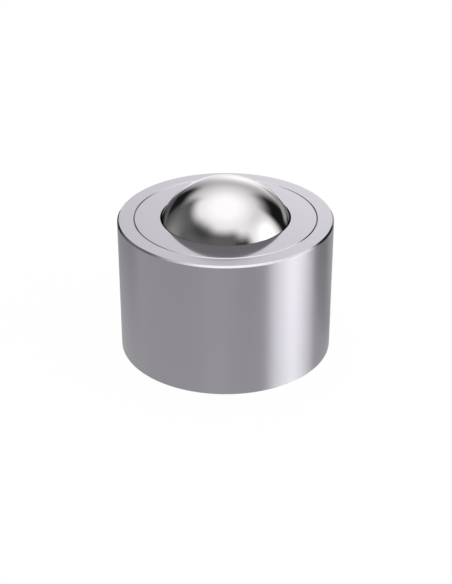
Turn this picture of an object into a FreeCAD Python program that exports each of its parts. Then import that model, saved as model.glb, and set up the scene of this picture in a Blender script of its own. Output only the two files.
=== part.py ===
import FreeCAD, Part
import math
import os
import Sketcher

# Ball transfer unit: a polished load ball that rolls on a bed of small balls in a turned steel housing.
# The origin is the middle of the flat base, +Z points up through the load ball, and lengths are in mm.

DRIVING_SIZES = {
    # Housing, turned from solid bar
    "body_diameter": 45.0,
    "body_height": 29.4,
    "rim_chamfer": 0.35,
    "base_edge_break": 0.1,
    # Load ball
    "load_ball_diameter": 30.0,
    # Bed of small balls, in level rows from the bottom of the race up to the load ball's equator
    "support_ball_diameter": 3.5,
    "support_ball_rows": 8,
    "support_ball_gap": 0.08,
    "support_row_gap": 0.26,
    "bed_play": 0.05,
    "bed_headroom": 0.25,
    # Retainer ring, on a shoulder of the bore
    "shoulder_width": 0.4,
    "retainer_thickness": 1.2,
    "retainer_ball_clearance": 0.15,
    # Felt wiper ring
    "wiper_thickness": 2.5,
    "wiper_ball_clearance": 0.05,
    "wiper_side_clearance": 0.05,
    # Cover ring, pressed in flush with the rim
    "cover_lip_thickness": 1.2,
    "cover_ball_clearance": 0.25,
    "cover_skirt_width": 2.0,
    "seat_clearance": 0.01,
    "joint_bevel": 0.15,
}

FULL_TURN = 360
PARTS_FOLDER = "parts"

# How a sketch numbers its own axes, and the points of a line or an arc
HORIZONTAL_AXIS, VERTICAL_AXIS = -1, -2
START_INDEX, FINISH_INDEX, CENTRE_INDEX = 1, 2, 3
ORIGIN = (HORIZONTAL_AXIS, START_INDEX)

doc = FreeCAD.newDocument("ball_transfer_unit")
sheet = doc.addObject("Spreadsheet::Sheet", "Sizes")
for row, (alias, value) in enumerate(DRIVING_SIZES.items(), start=1):
    sheet.set(f"A{row}", alias.replace("_", " "))
    sheet.set(f"B{row}", str(value))
    sheet.setAlias(f"B{row}", alias)
doc.recompute()

# Sizes that follow from the driving ones, as expressions on the sheet

BODY_RADIUS = "Sizes.body_diameter / 2"
BODY_TOP = "Sizes.body_height"

# The bed: small balls between the load ball and the race, each row a fixed angle above the last
LOAD_BALL_RADIUS = "Sizes.load_ball_diameter / 2"
SUPPORT_BALL_RADIUS = "Sizes.support_ball_diameter / 2"
BED_RADIUS = f"({LOAD_BALL_RADIUS} + Sizes.bed_play + {SUPPORT_BALL_RADIUS})"
RACE_RADIUS = f"({BED_RADIUS} + {SUPPORT_BALL_RADIUS} + Sizes.bed_play)"
ROW_PITCH = "(Sizes.support_ball_diameter + Sizes.support_row_gap)"
ROW_ANGLE = f"(2 * asin({ROW_PITCH} / (2 * {BED_RADIUS})))"
TOP_ROW_RISE = f"max(0; -{BED_RADIUS} * cos((Sizes.support_ball_rows - 1) * {ROW_ANGLE}))"

# The stack, from the rim down: cover lip, felt, retainer ring, then the shoulder over the bed
LIP_UNDERSIDE = f"({BODY_TOP} - Sizes.cover_lip_thickness)"
RETAINER_TOP = f"({LIP_UNDERSIDE} - Sizes.wiper_thickness)"
SHOULDER_HEIGHT = f"({RETAINER_TOP} - Sizes.retainer_thickness)"
BALL_CENTRE = f"({SHOULDER_HEIGHT} - Sizes.bed_headroom - {SUPPORT_BALL_RADIUS} - {TOP_ROW_RISE})"

# What the rings fit in, and what they fit round
MOUTH_RADIUS = f"({RACE_RADIUS} + Sizes.shoulder_width)"
SEATED_RADIUS = f"({MOUTH_RADIUS} - Sizes.seat_clearance)"
RECESS_RADIUS = f"({MOUTH_RADIUS} - Sizes.cover_skirt_width)"
WIPER_OUTER_RADIUS = f"({RECESS_RADIUS} - Sizes.wiper_side_clearance)"
WIPER_BORE_RADIUS = f"({LOAD_BALL_RADIUS} + Sizes.wiper_ball_clearance)"
LIP_BORE_RADIUS = f"({LOAD_BALL_RADIUS} + Sizes.cover_ball_clearance)"
RETAINER_HOLE_RADIUS = f"({LOAD_BALL_RADIUS} + Sizes.retainer_ball_clearance)"


def worth(expression):
    """The number that an expression on the sheet comes to."""
    result = sheet.evalExpression(expression)
    return float(getattr(result, "Value", result))


def new_body(label):
    body = doc.addObject("PartDesign::Body", label)
    body.Label = label
    return body


def origin_feature(body, role):
    """One of a body's own origin planes or axes."""
    return next(item for item in body.Origin.OriginFeatures if item.Role == role)


def new_sketch(body, name, role):
    sketch = body.newObject("Sketcher::SketchObject", name)
    sketch.AttachmentSupport = [(origin_feature(body, role), "")]
    sketch.MapMode = "FlatFace"
    return sketch


def bind(sketch, constraint, name, expression):
    """Add a dimension to a sketch and tie it to the sheet."""
    index = sketch.addConstraint(constraint)
    sketch.renameConstraint(index, name)
    sketch.setExpression(f".Constraints.{name}", expression)


def hold(sketch, edge, end, kind, axis, value, expression):
    """Hold one point of an edge at a distance from the origin, or on an axis where that is 0."""
    if expression == "0":
        sketch.addConstraint(Sketcher.Constraint("PointOnObject", edge, end, axis))
    elif expression is not None:
        dimension = Sketcher.Constraint(kind, *ORIGIN, edge, end, value)
        bind(sketch, dimension, f"{kind}_{edge}_{end}", expression)


def corner_point(radius, height, reach):
    """A corner as a point. What is None follows from an arc of radius reach about the load ball."""
    middle = worth(BALL_CENTRE)
    if radius is None:
        return FreeCAD.Vector(math.sqrt(reach**2 - (worth(height) - middle)**2), worth(height), 0)
    if height is None:
        return FreeCAD.Vector(worth(radius), middle - math.sqrt(reach**2 - worth(radius)**2), 0)
    return FreeCAD.Vector(worth(radius), worth(height), 0)


def add_ball_arc(sketch, edge, start, finish, radius):
    """An arc about the load ball's centre. Returns its own end at the start, then the one at the finish."""
    rising = finish.y > start.y
    low, high = (start, finish) if rising else (finish, start)
    centre = FreeCAD.Vector(0, worth(BALL_CENTRE), 0)
    circle = Part.Circle(centre, FreeCAD.Vector(0, 0, 1), worth(radius))
    angles = [math.atan2(point.y - centre.y, point.x) for point in (low, high)]
    sketch.addGeometry(Part.ArcOfCircle(circle, *angles), False)
    hold(sketch, edge, CENTRE_INDEX, "DistanceX", VERTICAL_AXIS, centre.x, "0")
    hold(sketch, edge, CENTRE_INDEX, "DistanceY", HORIZONTAL_AXIS, centre.y, BALL_CENTRE)
    bind(sketch, Sketcher.Constraint("Radius", edge, circle.Radius), f"reach_{edge}", radius)
    return (START_INDEX, FINISH_INDEX) if rising else (FINISH_INDEX, START_INDEX)


def half_section(body, name, corners, arcs=None):
    """A closed outline on one side of the axis, for turning.

    Each corner is (radius, height), as expressions. Its edge to the next corner is straight, or for
    the corners in arcs, by number, an arc of that radius about the load ball's centre. A corner at
    the end of an arc leaves out, as None, the one size that follows from the arc.
    """
    arcs = arcs or {}
    sketch = new_sketch(body, name, "XZ_Plane")
    points = []
    for index, (radius, height) in enumerate(corners):
        touching = arcs.get(index, arcs.get((index - 1) % len(corners), "0"))
        points.append(corner_point(radius, height, worth(touching)))
    ends = []
    for edge, start in enumerate(points):
        finish = points[(edge + 1) % len(points)]
        if edge in arcs:
            ends.append(add_ball_arc(sketch, edge, start, finish, arcs[edge]))
        else:
            sketch.addGeometry(Part.LineSegment(start, finish), False)
            ends.append((START_INDEX, FINISH_INDEX))
    for edge, (radius, height) in enumerate(corners):
        before = (edge - 1) % len(corners)
        first = ends[edge][0]
        sketch.addConstraint(Sketcher.Constraint("Coincident", before, ends[before][1], edge, first))
        hold(sketch, edge, first, "DistanceX", VERTICAL_AXIS, points[edge].x, radius)
        hold(sketch, edge, first, "DistanceY", HORIZONTAL_AXIS, points[edge].y, height)
    return sketch


def turned(body, name, sketch, kind="Revolution"):
    """Turn a half section about the vertical axis, as a Revolution or as a Groove."""
    feature = body.newObject(f"PartDesign::{kind}", name)
    feature.Profile = sketch
    feature.ReferenceAxis = (sketch, ["V_Axis"])
    feature.Angle = FULL_TURN
    body.Tip = feature
    doc.recompute()
    return feature


def rim_edges(feature, radius, height):
    """The names of a feature's circular edges about the axis, at one radius and height."""
    names = []
    for number, edge in enumerate(feature.Shape.Edges, start=1):
        if edge.Degenerated or not isinstance(edge.Curve, Part.Circle):
            continue
        found = FreeCAD.Vector(edge.Curve.Radius, edge.Curve.Center.z, 0)
        if found.isEqual(FreeCAD.Vector(worth(radius), worth(height), 0), Part.Precision.confusion()):
            names.append(f"Edge{number}")
    return names


def bevelled(body, name, base, radius, height, size):
    """A 45 degree bevel on one turned edge."""
    feature = body.newObject("PartDesign::Chamfer", name)
    feature.Base = (base, rim_edges(base, radius, height))
    feature.setExpression("Size", size)
    body.Tip = feature
    doc.recompute()
    return feature


def make_housing():
    """A solid turned cylinder, bored from above for the rings and down to a hemispherical race."""
    body = new_body("housing")
    bar_section = half_section(body, "bar_section", [
        ("0", "0"),
        (BODY_RADIUS, "0"),
        (BODY_RADIUS, BODY_TOP),
        ("0", BODY_TOP),
    ])
    bar = turned(body, "bar", bar_section)
    bore_section = half_section(body, "bore_section", [
        ("0", BODY_TOP),
        (MOUTH_RADIUS, BODY_TOP),
        (MOUTH_RADIUS, SHOULDER_HEIGHT),
        (RACE_RADIUS, SHOULDER_HEIGHT),
        (None, BALL_CENTRE),
        ("0", None),
    ], arcs={4: RACE_RADIUS})
    bore = turned(body, "bore", bore_section, kind="Groove")
    if bore.Shape.Volume >= bar.Shape.Volume:
        raise RuntimeError("the bore removed nothing from the housing")
    rim = bevelled(body, "rim", bore, BODY_RADIUS, BODY_TOP, "Sizes.rim_chamfer")
    base_edge = bevelled(body, "base_edge", rim, BODY_RADIUS, "0", "Sizes.base_edge_break")
    bevelled(body, "mouth_edge", base_edge, MOUTH_RADIUS, BODY_TOP, "Sizes.joint_bevel")
    return body


def make_cover_ring():
    """The flush ring whose lip, bored to follow the load ball, keeps the ball in."""
    body = new_body("cover_ring")
    section = half_section(body, "ring_section", [
        (None, BODY_TOP),
        (SEATED_RADIUS, BODY_TOP),
        (SEATED_RADIUS, RETAINER_TOP),
        (RECESS_RADIUS, RETAINER_TOP),
        (RECESS_RADIUS, LIP_UNDERSIDE),
        (None, LIP_UNDERSIDE),
    ], arcs={5: LIP_BORE_RADIUS})
    ring = turned(body, "ring", section)
    bevelled(body, "outer_edge", ring, SEATED_RADIUS, BODY_TOP, "Sizes.joint_bevel")
    return body


def make_wiper_ring():
    """The felt ring under the cover's lip, bored to the load ball that it wipes."""
    body = new_body("wiper_ring")
    section = half_section(body, "felt_section", [
        (None, LIP_UNDERSIDE),
        (WIPER_OUTER_RADIUS, LIP_UNDERSIDE),
        (WIPER_OUTER_RADIUS, RETAINER_TOP),
        (None, RETAINER_TOP),
    ], arcs={3: WIPER_BORE_RADIUS})
    turned(body, "felt", section)
    return body


def make_retainer_ring():
    """The flat washer on the bore's shoulder, which closes the bed of small balls."""
    body = new_body("retainer_ring")
    sketch = new_sketch(body, "washer_outline", "XY_Plane")
    for edge, (name, radius) in enumerate((("outside", SEATED_RADIUS), ("hole", RETAINER_HOLE_RADIUS))):
        circle = Part.Circle(FreeCAD.Vector(), FreeCAD.Vector(0, 0, 1), worth(radius))
        sketch.addGeometry(circle, False)
        sketch.addConstraint(Sketcher.Constraint("Coincident", edge, CENTRE_INDEX, *ORIGIN))
        bind(sketch, Sketcher.Constraint("Radius", edge, circle.Radius), name, radius)
    washer = body.newObject("PartDesign::Pad", "washer")
    washer.Profile = sketch
    washer.setExpression("Length", "Sizes.retainer_thickness")
    body.Tip = washer
    body.setExpression("Placement.Base.z", SHOULDER_HEIGHT)
    return body


def make_load_ball():
    ball = doc.addObject("Part::Sphere", "load_ball")
    ball.Label = "load_ball"
    ball.setExpression("Radius", LOAD_BALL_RADIUS)
    ball.setExpression("Placement.Base.z", BALL_CENTRE)
    return ball


def make_support_row(number):
    """One level row of small balls: as many as fit beside each other round its circle.

    The first row is the single ball at the bottom of the race.
    """
    body = new_body(f"support_balls_row_{number}")
    body.AllowCompound = True
    latitude = f"({number - 1} * {ROW_ANGLE})"
    row_radius = f"({BED_RADIUS} * sin({latitude}))"
    ball = body.newObject("PartDesign::AdditiveSphere", "ball")
    ball.setExpression("Radius", SUPPORT_BALL_RADIUS)
    ball.setExpression("Placement.Base.x", row_radius)
    ball.setExpression("Placement.Base.z", f"{BALL_CENTRE} - {BED_RADIUS} * cos({latitude})")
    doc.recompute()
    if number == 1:
        return body

    half_pitch = "(Sizes.support_ball_diameter + Sizes.support_ball_gap) / 2"
    balls_in_row = f"floor(180 deg / asin({half_pitch} / {row_radius}))"
    ring = body.newObject("PartDesign::PolarPattern", "ring")
    ring.Originals = [ball]
    ring.Axis = (origin_feature(body, "Z_Axis"), [""])
    ring.Angle = FULL_TURN
    ring.setExpression("Occurrences", balls_in_row)
    body.Tip = ring
    doc.recompute()
    if len(body.Shape.Solids) != ring.Occurrences:
        raise RuntimeError(f"{body.Label} has {len(body.Shape.Solids)} balls, not {ring.Occurrences}")
    if number % 2:
        # Every other row starts half a ball round, so that the rows don't line up
        body.setExpression("Placement.Rotation.Angle", f"180 deg / {balls_in_row}")
    return body


def check_and_export(parts):
    doc.recompute()
    for item in doc.Objects:
        if {"Invalid", "Error"} & set(item.State):
            raise RuntimeError(f"{item.Label} failed: {item.State}")
        if item.isDerivedFrom("Sketcher::SketchObject") and not item.FullyConstrained:
            raise RuntimeError(f"{item.Label} isn't fully constrained")
    for part in parts:
        if part.Shape.isNull() or not part.Shape.isValid():
            raise RuntimeError(f"{part.Label} has no valid shape")
    os.makedirs(PARTS_FOLDER, exist_ok=True)
    for part in parts:
        part.Shape.exportStep(os.path.join(PARTS_FOLDER, f"{part.Label}.step"))


rows = range(1, int(worth("Sizes.support_ball_rows")) + 1)
check_and_export([
    make_housing(),
    make_load_ball(),
    make_retainer_ring(),
    make_wiper_ring(),
    make_cover_ring(),
] + [make_support_row(number) for number in rows])
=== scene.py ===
import math

import bpy
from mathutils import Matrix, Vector


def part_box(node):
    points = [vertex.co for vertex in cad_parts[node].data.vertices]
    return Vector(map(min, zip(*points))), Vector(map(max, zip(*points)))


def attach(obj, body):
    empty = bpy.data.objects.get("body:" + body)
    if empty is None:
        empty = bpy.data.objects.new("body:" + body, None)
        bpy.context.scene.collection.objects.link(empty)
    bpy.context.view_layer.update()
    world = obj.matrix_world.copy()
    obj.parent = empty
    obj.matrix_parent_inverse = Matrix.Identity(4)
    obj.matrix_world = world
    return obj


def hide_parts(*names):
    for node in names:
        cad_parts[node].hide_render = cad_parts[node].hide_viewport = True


# Ball transfer unit: finish, turned surfaces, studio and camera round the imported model, in metres.

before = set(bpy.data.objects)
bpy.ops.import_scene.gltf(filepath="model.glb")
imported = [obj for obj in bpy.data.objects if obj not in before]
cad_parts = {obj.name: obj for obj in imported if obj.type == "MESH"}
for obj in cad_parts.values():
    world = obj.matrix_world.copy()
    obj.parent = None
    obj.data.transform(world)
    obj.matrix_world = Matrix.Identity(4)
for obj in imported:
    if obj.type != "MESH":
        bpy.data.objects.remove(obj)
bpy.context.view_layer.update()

MM = 0.001
MICRON = 1e-6

# How finely the turned pieces are divided
TURNED_SEGMENTS = 288
LONGEST_STEP = 1.2 * MM
EDGE_ROUND = 0.03 * MM
EDGE_ROUND_STEPS = 4
RACE_ARC_STEPS = 48
LIP_ARC_STEPS = 8
BALL_ARC_STEPS = 144
AXIS_TOLERANCE = 0.001 * MM

# Fits that a node's box doesn't give
RIM_CHAMFER = 0.35 * MM
BASE_EDGE_BREAK = 0.1 * MM
JOINT_BEVEL = 0.15 * MM
SEAT_CLEARANCE = 0.01 * MM
BED_PLAY = 0.05 * MM
WIPER_SIDE_CLEARANCE = 0.05 * MM
COVER_BALL_CLEARANCE = 0.25 * MM


def node_reach(name):
    """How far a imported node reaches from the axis."""
    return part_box(name)[1].x


def node_heights(name):
    """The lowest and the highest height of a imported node."""
    low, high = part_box(name)
    return low.z, high.z


# Where the pieces are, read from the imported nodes
BODY_RADIUS = node_reach("housing")
BODY_TOP = node_heights("housing")[1]
BALL_BOTTOM, BALL_TOP = node_heights("load_ball")
BALL_RADIUS = (BALL_TOP - BALL_BOTTOM) / 2
BALL_CENTRE = (BALL_TOP + BALL_BOTTOM) / 2
RACE_RADIUS = BALL_CENTRE - node_heights("support_balls_row_1")[0] + BED_PLAY
SEATED_RADIUS = node_reach("cover_ring")
MOUTH_RADIUS = SEATED_RADIUS + SEAT_CLEARANCE
SHOULDER_HEIGHT, RETAINER_TOP = node_heights("retainer_ring")
LIP_UNDERSIDE = node_heights("wiper_ring")[1]
RECESS_RADIUS = node_reach("wiper_ring") + WIPER_SIDE_CLEARANCE
LIP_BORE_RADIUS = BALL_RADIUS + COVER_BALL_CLEARANCE


# Outlines of turned pieces: stations of radius, height and the outward normal there

def ball_arc(radius, start_height, finish_height, steps, outward):
    """Stations on a circle about the load ball's centre, between two heights. Outward is 1 or -1."""
    first = math.asin((start_height - BALL_CENTRE) / radius)
    last = math.asin((finish_height - BALL_CENTRE) / radius)
    stations = []
    for step in range(steps + 1):
        angle = first + (last - first) * step / steps
        across, up = math.cos(angle), math.sin(angle)
        stations.append((radius * across, BALL_CENTRE + radius * up, outward * across, outward * up))
    return stations


def straight(start, finish, normal):
    """Stations from one point to another, no further apart than the longest step."""
    steps = max(1, math.ceil((finish - start).length / LONGEST_STEP))
    points = [start.lerp(finish, step / steps) for step in range(steps + 1)]
    return [(point.x, point.y, normal.x, normal.y) for point in points]


def rotated(vector, angle):
    """A vector in the outline's plane, turned through an angle."""
    cosine, sine = math.cos(angle), math.sin(angle)
    return Vector((vector.x * cosine - vector.y * sine, vector.x * sine + vector.y * cosine))


def polished_outline(corners):
    """Stations along straight edges whose corners, apart from the two ends, have a tiny round.

    The outline runs with the solid on its left, so that the normals point out of it.
    """
    points = [Vector(corner) for corner in corners]
    headings = [(after - before).normalized() for before, after in zip(points, points[1:])]
    normals = [Vector((heading.y, -heading.x)) for heading in headings]
    stations = []
    start = points[0]
    for index, corner in enumerate(points[1:-1]):
        before, after = headings[index], headings[index + 1]
        turn = math.atan2(before.x * after.y - before.y * after.x, before.dot(after))
        side = math.copysign(1, turn)
        cut = EDGE_ROUND * math.tan(abs(turn) / 2)
        stations += straight(start, corner - before * cut, normals[index])
        centre = corner - before * cut - side * normals[index] * EDGE_ROUND
        for step in range(1, EDGE_ROUND_STEPS):
            normal = rotated(normals[index], turn * step / EDGE_ROUND_STEPS)
            spot = centre + side * normal * EDGE_ROUND
            stations.append((spot.x, spot.y, normal.x, normal.y))
        start = corner + after * cut
    return stations + straight(start, points[-1], normals[-1])


def add_object(name, data):
    made = bpy.data.objects.new(name, data)
    bpy.context.scene.collection.objects.link(made)
    return made


def turned_piece(name, stations, closed):
    """Turns an outline about the vertical axis. An open outline starts and ends on the axis."""
    vertices, normals, rings = [], [], []
    for radius, height, across, up in stations:
        on_axis = not closed and radius < AXIS_TOLERANCE
        count = 1 if on_axis else TURNED_SEGMENTS
        rings.append(range(len(vertices), len(vertices) + count))
        for segment in range(count):
            angle = math.tau * segment / TURNED_SEGMENTS
            cosine, sine = math.cos(angle), math.sin(angle)
            vertices.append((radius * cosine, radius * sine, height))
            normals.append((across * cosine, across * sine, up))
    pairs = list(zip(rings, rings[1:]))
    if closed:
        pairs.append((rings[-1], rings[0]))
    faces = []
    for low, high in pairs:
        for segment in range(TURNED_SEGMENTS):
            following = (segment + 1) % TURNED_SEGMENTS
            if len(low) == 1:
                faces.append((low[0], high[following], high[segment]))
            elif len(high) == 1:
                faces.append((low[segment], low[following], high[0]))
            else:
                faces.append((low[segment], low[following], high[following], high[segment]))
    mesh = bpy.data.meshes.new(name)
    mesh.from_pydata(vertices, [], faces)
    mesh.shade_smooth()
    mesh.normals_split_custom_set_from_vertices(normals)
    return add_object(name, mesh)


# Node materials

# A Mix node has the sockets of every type under the same names, so they are taken by number:
# the first value, the second and the result
MIX_FACTOR = 0
MIX_SOCKETS = {"FLOAT": (2, 3, 0), "RGBA": (6, 7, 2)}

PLAIN_WHITE = (1, 1, 1, 1)
QUARTER_TURN = 0.25

# How fine the patterns are, in features to the metre
STEEL_CLOUDS = 140
BALL_CLOUDS = 220
BALL_SCRATCHES = 3000
FELT_CLUMPS = 500
FELT_FIBRES = 2500

# How deep they are, and how strong
BALL_SCRATCH_DEPTH = 0.02 * MICRON
BALL_ROUGHNESS_SPREAD = 0.2
FELT_PILE_DEPTH = 0.1 * MM
FELT_CONTRAST = 3.0

# A tool mark's width as a share of its length round the axis
MARK_SLIMNESS = 0.02


def add_node(tree, kind, inputs=None, **settings):
    """Adds a node. An input that is a socket is linked, and any other is set on the node."""
    made = tree.nodes.new(kind)
    for name, value in settings.items():
        setattr(made, name, value)
    for key, value in (inputs or {}).items():
        if isinstance(value, bpy.types.NodeSocket):
            tree.links.new(value, made.inputs[key])
        else:
            made.inputs[key].default_value = value
    return made


def calculate(tree, operation, first, second=0.0):
    return add_node(tree, "ShaderNodeMath", {0: first, 1: second}, operation=operation).outputs[0]


def mixed(tree, kind, amount, first, second):
    """Goes from first to second as amount goes from 0 to 1. The kind is FLOAT or RGBA."""
    start, finish, result = MIX_SOCKETS[kind]
    inputs = {MIX_FACTOR: amount, start: first, finish: second}
    return add_node(tree, "ShaderNodeMix", inputs, data_type=kind).outputs[result]


def blended(tree, amount, first, second):
    return mixed(tree, "FLOAT", amount, first, second)


def blended_colour(tree, amount, first, second):
    return mixed(tree, "RGBA", amount, (*first, 1), (*second, 1))


def new_tree(name):
    material = bpy.data.materials.new(name)
    material.use_nodes = True
    material.node_tree.nodes.clear()
    return material, material.node_tree


def finish_with(tree, shader):
    add_node(tree, "ShaderNodeOutputMaterial", {"Surface": shader})


def noise(tree, vector, scale, detail):
    made = add_node(tree, "ShaderNodeTexNoise", {"Vector": vector, "Scale": scale, "Detail": detail})
    return made.outputs["Fac"]


def bumped(tree, height, depth):
    """A normal for relief of a depth in metres."""
    bump = add_node(tree, "ShaderNodeBump", {"Height": height, "Strength": 1.0, "Distance": depth})
    return bump.outputs[0]


def point_on_piece(tree):
    """The point in metres, in the piece's own frame."""
    return add_node(tree, "ShaderNodeTexCoord").outputs["Object"]


def distance_from_axis(tree, x, y):
    squares = calculate(tree, "ADD", calculate(tree, "MULTIPLY", x, x), calculate(tree, "MULTIPLY", y, y))
    return calculate(tree, "SQRT", squares)


def tool_marks(tree, across, x, y, pitch):
    """Fine lines round the axis, which wander slightly and differ in depth, from 0 to 1.

    Across is the distance that the lines are spaced along: the height on a wall, the radius on a face.
    """
    stretched = add_node(tree, "ShaderNodeCombineXYZ", {
        0: calculate(tree, "DIVIDE", across, pitch),
        1: calculate(tree, "MULTIPLY", x, MARK_SLIMNESS / pitch),
        2: calculate(tree, "MULTIPLY", y, MARK_SLIMNESS / pitch),
    }).outputs[0]
    return noise(tree, stretched, scale=1.0, detail=3)


def turned_steel(name, light, dark, roughness, spread, pitch, depth, on_wall=False, anisotropy=0.0):
    """Steel with the marks of turning: rings on a flat face, or level lines on a wall.

    spread is how far the roughness strays either way, and pitch and depth are those of the marks.
    """
    material, tree = new_tree(name)
    point = point_on_piece(tree)
    x, y, z = add_node(tree, "ShaderNodeSeparateXYZ", {0: point}).outputs
    marks = tool_marks(tree, z if on_wall else distance_from_axis(tree, x, y), x, y, pitch)
    clouds = noise(tree, point, scale=STEEL_CLOUDS, detail=3)
    shade = blended(tree, 0.5, marks, clouds)
    inputs = {
        "Base Color": blended_colour(tree, shade, dark, light),
        "Metallic": 1.0,
        "Roughness": blended(tree, shade, roughness - spread, roughness + spread),
        "Normal": bumped(tree, marks, depth),
    }
    if anisotropy:
        # The gloss spreads up and down the wall, across its level marks
        inputs["Anisotropic"] = anisotropy
        inputs["Anisotropic Rotation"] = QUARTER_TURN
        inputs["Tangent"] = add_node(tree, "ShaderNodeTangent", direction_type="RADIAL", axis="Z").outputs[0]
    finish_with(tree, add_node(tree, "ShaderNodeBsdfPrincipled", inputs).outputs[0])
    return material


def ball_steel(name, light, dark, roughness):
    """Polished ball steel, with faint clouding and the finest of scratches in its gloss."""
    material, tree = new_tree(name)
    point = point_on_piece(tree)
    clouds = noise(tree, point, scale=BALL_CLOUDS, detail=4)
    scratches = noise(tree, point, scale=BALL_SCRATCHES, detail=2)
    smoothest, roughest = roughness * (1 - BALL_ROUGHNESS_SPREAD), roughness * (1 + BALL_ROUGHNESS_SPREAD)
    finish_with(tree, add_node(tree, "ShaderNodeBsdfPrincipled", {
        "Base Color": blended_colour(tree, clouds, dark, light),
        "Metallic": 1.0,
        "Roughness": blended(tree, clouds, smoothest, roughest),
        "Normal": bumped(tree, scratches, BALL_SCRATCH_DEPTH),
    }).outputs[0])
    return material


def pressed_felt(name, light, dark):
    """Dense felt: short matted fibres, lighter where they stand up."""
    material, tree = new_tree(name)
    point = point_on_piece(tree)
    fibres = noise(tree, point, scale=FELT_FIBRES, detail=6)
    clumps = noise(tree, point, scale=FELT_CLUMPS, detail=3)
    pile = calculate(tree, "MULTIPLY", calculate(tree, "MULTIPLY", fibres, clumps), FELT_CONTRAST)
    finish_with(tree, add_node(tree, "ShaderNodeBsdfPrincipled", {
        "Base Color": blended_colour(tree, pile, dark, light),
        "Roughness": 0.95,
        "Sheen Weight": 0.4,
        "Normal": bumped(tree, fibres, FELT_PILE_DEPTH),
    }).outputs[0])
    return material


# Studio, given as directions from the object in degrees.
# Azimuth 0 is straight behind it as the camera sees it, and 90 is to its right.

CARD_STEP = 1.5
FURTHEST_CARD = 1.4
CARD_SPACING = 0.03
NEAR_FLAG_DISTANCE = 0.12
LOW_FLAG_DISTANCE = 0.15
# How high the painted floor shadow lies above the floor
PAINTED_SHADOW_HEIGHT = 0.1 * MM

# Levels of light, where 1 is white
WHITE = 1.0
BRIGHTEST_SECOND_LOOK = 0.1875
FIRST_REFLECTION_DEPTH = 1.0

FLOOR_SIZE = 12.0
FLOOR_DROP = 0.02 * MM
FLOOR_ALBEDO = 0.9
FLOOR_GLOW = 1.02
FLOOR_SHADOW_SHARE = 0.05


def seen_directly(tree):
    """1 where the camera, a mirror or glass looks at it, and 0 where it only lights other things."""
    path = add_node(tree, "ShaderNodeLightPath").outputs
    either = calculate(tree, "MAXIMUM", path["Is Camera Ray"], path["Is Glossy Ray"])
    return calculate(tree, "MAXIMUM", either, path["Is Transmission Ray"])


def studio_level(tree, level):
    """A level of light that is no more than dim in a reflection of a reflection."""
    depth = add_node(tree, "ShaderNodeLightPath").outputs["Ray Depth"]
    second_look = calculate(tree, "GREATER_THAN", depth, FIRST_REFLECTION_DEPTH)
    return blended(tree, second_look, level, min(level, BRIGHTEST_SECOND_LOOK))


def direction(azimuth, elevation):
    """The unit vector from the object towards a place in the studio."""
    turn, rise = math.radians(azimuth), math.radians(elevation)
    return Vector((math.sin(turn) * math.cos(rise), math.cos(turn) * math.cos(rise), math.sin(rise)))


def evenly_spaced(limits, steps):
    return [limits[0] + (limits[1] - limits[0]) * step / steps for step in range(steps + 1)]


def faded(inside, fade):
    """How much of a panel there is at so many degrees inside its edge."""
    if fade == 0:
        return 1.0
    share = min(max(inside / fade, 0.0), 1.0)
    return share * share * (3 - 2 * share)


def panel_mesh(name, azimuths, elevations, fades, distance, lies_flat):
    """A grid over part of a sphere round the object, with how much of the panel there is at each point."""
    left_fade, right_fade, bottom_fade, top_fade = fades
    columns = round((azimuths[1] - azimuths[0]) / CARD_STEP)
    rows = round((elevations[1] - elevations[0]) / CARD_STEP)
    vertices, cover = [], []
    for elevation in evenly_spaced(elevations, rows):
        upright = faded(elevation - elevations[0], bottom_fade) * faded(elevations[1] - elevation, top_fade)
        for azimuth in evenly_spaced(azimuths, columns):
            sideways = faded(azimuth - azimuths[0], left_fade) * faded(azimuths[1] - azimuth, right_fade)
            vertex = direction(azimuth, elevation) * distance
            if lies_flat:
                vertex.z = PAINTED_SHADOW_HEIGHT
            vertices.append(vertex)
            cover.append(sideways * upright)
    across = columns + 1
    corners = [row * across + column for row in range(rows) for column in range(columns)]
    faces = [(corner, corner + 1, corner + across + 1, corner + across) for corner in corners]
    mesh = bpy.data.meshes.new(name)
    mesh.from_pydata(vertices, [], faces)
    mesh.shade_smooth()
    mesh.attributes.new("cover", "FLOAT", "POINT").data.foreach_set("value", cover)
    return mesh


def studio_card(name, azimuths, elevations, fades, level, distance, lies_flat=False):
    """A soft-edged panel of the studio: a softbox if its level is high, a flag if it is low.

    fades are how many degrees the panel takes to fade in at its left, right, bottom and top.
    One that lies flat is the panel's plan, on the floor, where it serves as a painted shadow.
    """
    card = add_object(name, panel_mesh(name, azimuths, elevations, fades, distance, lies_flat))
    card.visible_camera = False
    material, tree = new_tree(name)
    glow = add_node(tree, "ShaderNodeEmission", {"Color": PLAIN_WHITE, "Strength": studio_level(tree, level)})
    cover = add_node(tree, "ShaderNodeAttribute", attribute_name="cover").outputs["Fac"]
    clear = add_node(tree, "ShaderNodeBsdfTransparent")
    mix = add_node(tree, "ShaderNodeMixShader", {0: cover, 1: clear.outputs[0], 2: glow.outputs[0]})
    finish_with(tree, mix.outputs[0])
    card.data.materials.append(material)
    return card


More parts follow.
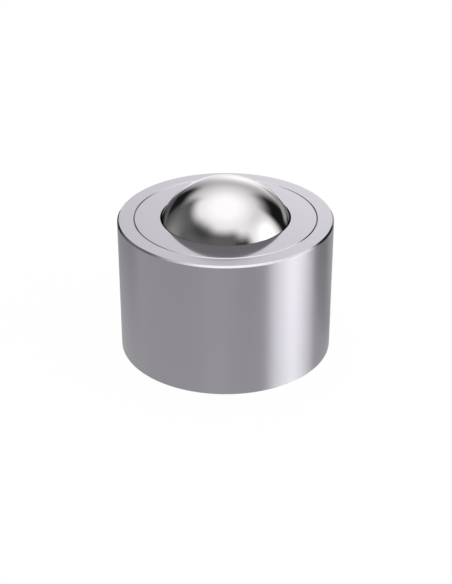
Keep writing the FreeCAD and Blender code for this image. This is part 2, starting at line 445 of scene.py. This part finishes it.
def make_studio():
    """The panels, from the furthest to the nearest. Each one hides those behind it."""
    panels = [
        ("white_room", (0, 360), (0, 90), (0, 0, 0, 0), WHITE),
        ("overhead_box", (0, 360), (50, 90), (0, 0, 29, 0), 1.25),
        ("back_wall", (-57, 143), (0, 68), (10, 51, 0, 58), 0.27),
        ("back_glow", (-26, 40), (0, 40), (35, 35, 0, 31), 1.24),
        ("front_wall", (140, 323), (0, 57), (28, 18, 0, 18), 0.13),
        ("front_shade", (-163, -87), (23, 65), (30, 36, 17, 32), 0.06),
        ("left_wall", (-103, -53), (0, 39), (21, 25, 0, 34), 0.29),
        ("right_box", (58, 139), (0, 52), (44, 41, 0, 29), 1.7),
        ("front_strip", (150, 285), (0, 12), (20, 15, 0, 4), 0.45),
        ("front_glow", (170, 210), (0, 12), (20, 20, 0, 4), 1.0),
        ("right_strip", (78, 141), (0, 9), (25, 3, 0, 3), 15.0),
        ("right_strip_heart", (102, 119), (0, 20), (15, 13, 0, 6), 17.0),
        ("right_flag", (28, 77), (0, 52), (15, 13, 0, 29), 0.01),
        ("left_flag", (-60, -18), (0, 38), (18, 10, 0, 18), 0.012),
        ("front_flag", (124, 171), (0, 49), (20, 13, 0, 23), 0.04),
    ]
    for index, panel in enumerate(panels):
        studio_card(*panel, FURTHEST_CARD - index * CARD_SPACING)

    # Flags close to the object, which its side mirrors more of towards the base, and a painted shadow lying
    # on the floor beside it. Only gloss sees them.
    near_flags = [
        studio_card("near_left_flag", (-94, -42), (0, 18), (14, 8, 0, 6), 0.15, NEAR_FLAG_DISTANCE),
        studio_card("near_right_flag", (51, 90), (0, 18), (18, 3, 0, 6), 0.01, NEAR_FLAG_DISTANCE),
        studio_card("low_left_flag", (-66, -14), (0, 17), (14, 8, 0, 4), 0.1, LOW_FLAG_DISTANCE),
        studio_card("low_right_flag", (14, 60), (0, 17), (8, 12, 0, 4), 0.35, LOW_FLAG_DISTANCE),
        # A painted shadow on the floor beside the object, which the side mirrors towards its base.
        studio_card("right_painted_floor_shadow", (51, 91), (0, 79), (18, 5, 0, 1), 0.78, NEAR_FLAG_DISTANCE,
                    lies_flat=True),
    ]
    for flag in near_flags:
        flag.visible_diffuse = False
        flag.visible_shadow = False


def make_floor():
    """A pale floor that shows as plain white and keeps a faint shadow of the object."""
    half = FLOOR_SIZE / 2
    corners = [(-half, -half, -FLOOR_DROP), (half, -half, -FLOOR_DROP),
               (half, half, -FLOOR_DROP), (-half, half, -FLOOR_DROP)]
    mesh = bpy.data.meshes.new("floor")
    mesh.from_pydata(corners, [], [(0, 1, 2, 3)])
    floor = add_object("floor", mesh)
    material, tree = new_tree("floor")
    lit = add_node(tree, "ShaderNodeBsdfDiffuse", {"Color": (FLOOR_ALBEDO, FLOOR_ALBEDO, FLOOR_ALBEDO, 1)})
    white = add_node(tree, "ShaderNodeEmission", {"Color": PLAIN_WHITE, "Strength": FLOOR_GLOW})
    share = calculate(tree, "MULTIPLY", seen_directly(tree), 1 - FLOOR_SHADOW_SHARE)
    mix = add_node(tree, "ShaderNodeMixShader", {0: share, 1: lit.outputs[0], 2: white.outputs[0]})
    finish_with(tree, mix.outputs[0])
    mesh.materials.append(material)


def make_world():
    """The plain white behind everything."""
    world = bpy.data.worlds.new("studio_room")
    world.use_nodes = True
    tree = world.node_tree
    tree.nodes.clear()
    background = add_node(tree, "ShaderNodeBackground", {"Color": PLAIN_WHITE, "Strength": WHITE})
    add_node(tree, "ShaderNodeOutputWorld", {"Surface": background.outputs[0]})
    bpy.context.scene.world = world


# Camera, placed by the outline of the housing in the photograph

CAMERA_ELEVATION = math.radians(28.9)
CAMERA_DISTANCE = 0.2894
CAMERA_TARGET = Vector((0.00009, 0.0, 0.01143))
CAMERA_LENS = 83.33


def make_camera():
    data = bpy.data.cameras.new("camera")
    data.lens = CAMERA_LENS
    camera = add_object("camera", data)
    back = Vector((0, -math.cos(CAMERA_ELEVATION), math.sin(CAMERA_ELEVATION)))
    camera.location = CAMERA_TARGET + back * CAMERA_DISTANCE
    camera.rotation_euler = (-back).to_track_quat("-Z", "Y").to_euler()
    bpy.context.scene.camera = camera


# Pieces

RIM_COLOURS = {"light": (0.88, 0.847, 0.92), "dark": (0.84, 0.809, 0.878)}
POLISH = {"spread": 0.02, "pitch": 0.15 * MM, "depth": 0.02 * MICRON}

# The side's colour is darker than the rim's as painted shade, standing in for the darker surroundings it
# mirrors; its satin gloss is real.
SIDE_STEEL_WITH_PAINTED_SHADE = turned_steel("satin_side_with_painted_shade", light=(0.43, 0.417, 0.45), dark=(0.41, 0.398, 0.43),
                          roughness=0.38, spread=0.02, pitch=0.12 * MM, depth=0.1 * MICRON,
                          on_wall=True, anisotropy=1.0)
RIM_STEEL = turned_steel("polished_rim", roughness=0.19, **RIM_COLOURS, **POLISH)
EDGE_STEEL = turned_steel("polished_edge", roughness=0.13, **RIM_COLOURS, **POLISH)
COVER_STEEL = turned_steel("polished_cover", light=(0.90, 0.866, 0.941), dark=(0.87, 0.837, 0.909),
                           roughness=0.09, **POLISH)
RETAINER_STEEL = turned_steel("ground_retainer", light=(0.47, 0.47, 0.49), dark=(0.42, 0.42, 0.44),
                              roughness=0.35, spread=0.05, pitch=0.1 * MM, depth=0.3 * MICRON)


def make_housing():
    """The turned body: satin on its side, with painted shade in the side's darker colour, and polished on the
    rim, inside and underneath.
    """
    outline = polished_outline([
        (0, 0),
        (BODY_RADIUS - BASE_EDGE_BREAK, 0),
        (BODY_RADIUS, BASE_EDGE_BREAK),
        (BODY_RADIUS, BODY_TOP - RIM_CHAMFER),
        (BODY_RADIUS - RIM_CHAMFER, BODY_TOP),
        (MOUTH_RADIUS + JOINT_BEVEL, BODY_TOP),
        (MOUTH_RADIUS, BODY_TOP - JOINT_BEVEL),
        (MOUTH_RADIUS, SHOULDER_HEIGHT),
        (RACE_RADIUS, SHOULDER_HEIGHT),
        (RACE_RADIUS, BALL_CENTRE),
    ])
    race = ball_arc(RACE_RADIUS, BALL_CENTRE, BALL_CENTRE - RACE_RADIUS, RACE_ARC_STEPS, outward=-1)
    piece = turned_piece("housing_turned", outline + race[1:], closed=False)
    steels = (SIDE_STEEL_WITH_PAINTED_SHADE, EDGE_STEEL, RIM_STEEL)
    for steel in steels:
        piece.data.materials.append(steel)
    for face in piece.data.polygons:
        if face.center.xy.length < BODY_RADIUS - RIM_CHAMFER:
            face.material_index = steels.index(RIM_STEEL)
        elif face.center.z > BODY_TOP - RIM_CHAMFER:
            face.material_index = steels.index(EDGE_STEEL)
    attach(piece, "housing")
    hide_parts("housing")


def make_cover_ring():
    """The flush ring whose lip follows the load ball."""
    lip_top_radius = math.sqrt(LIP_BORE_RADIUS**2 - (BODY_TOP - BALL_CENTRE)**2)
    lip_low_radius = math.sqrt(LIP_BORE_RADIUS**2 - (LIP_UNDERSIDE - BALL_CENTRE)**2)
    outline = polished_outline([
        (lip_low_radius, LIP_UNDERSIDE),
        (RECESS_RADIUS, LIP_UNDERSIDE),
        (RECESS_RADIUS, RETAINER_TOP),
        (SEATED_RADIUS, RETAINER_TOP),
        (SEATED_RADIUS, BODY_TOP - JOINT_BEVEL),
        (SEATED_RADIUS - JOINT_BEVEL, BODY_TOP),
        (lip_top_radius, BODY_TOP),
    ])
    lip = ball_arc(LIP_BORE_RADIUS, BODY_TOP, LIP_UNDERSIDE, LIP_ARC_STEPS, outward=-1)
    piece = turned_piece("cover_ring_turned", outline + lip, closed=True)
    piece.data.materials.append(COVER_STEEL)
    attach(piece, "housing")
    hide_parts("cover_ring")


def make_load_ball():
    outline = ball_arc(BALL_RADIUS, BALL_BOTTOM, BALL_TOP, BALL_ARC_STEPS, outward=1)
    piece = turned_piece("load_ball_polished", outline, closed=False)
    piece.data.materials.append(
        ball_steel("polished_chrome", light=(0.81, 0.782, 0.798), dark=(0.79, 0.762, 0.778), roughness=0.05))
    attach(piece, "load_ball")
    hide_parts("load_ball")


def dress_inside():
    """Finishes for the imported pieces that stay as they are."""
    finishes = {
        "retainer_ring": RETAINER_STEEL,
        "wiper_ring": pressed_felt("pressed_felt", light=(0.36, 0.35, 0.33), dark=(0.14, 0.135, 0.13)),
    }
    small_ball = ball_steel("support_ball_chrome", light=(0.74, 0.74, 0.76), dark=(0.68, 0.68, 0.70),
                            roughness=0.12)
    for name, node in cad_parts.items():
        if name.startswith("support_balls_row"):
            finishes[name] = small_ball
        if name in finishes:
            node.data.materials.clear()
            node.data.materials.append(finishes[name])


make_housing()
make_cover_ring()
make_load_ball()
dress_inside()
make_studio()
make_floor()
make_world()
make_camera()

bpy.context.scene.view_settings.view_transform = "Standard"
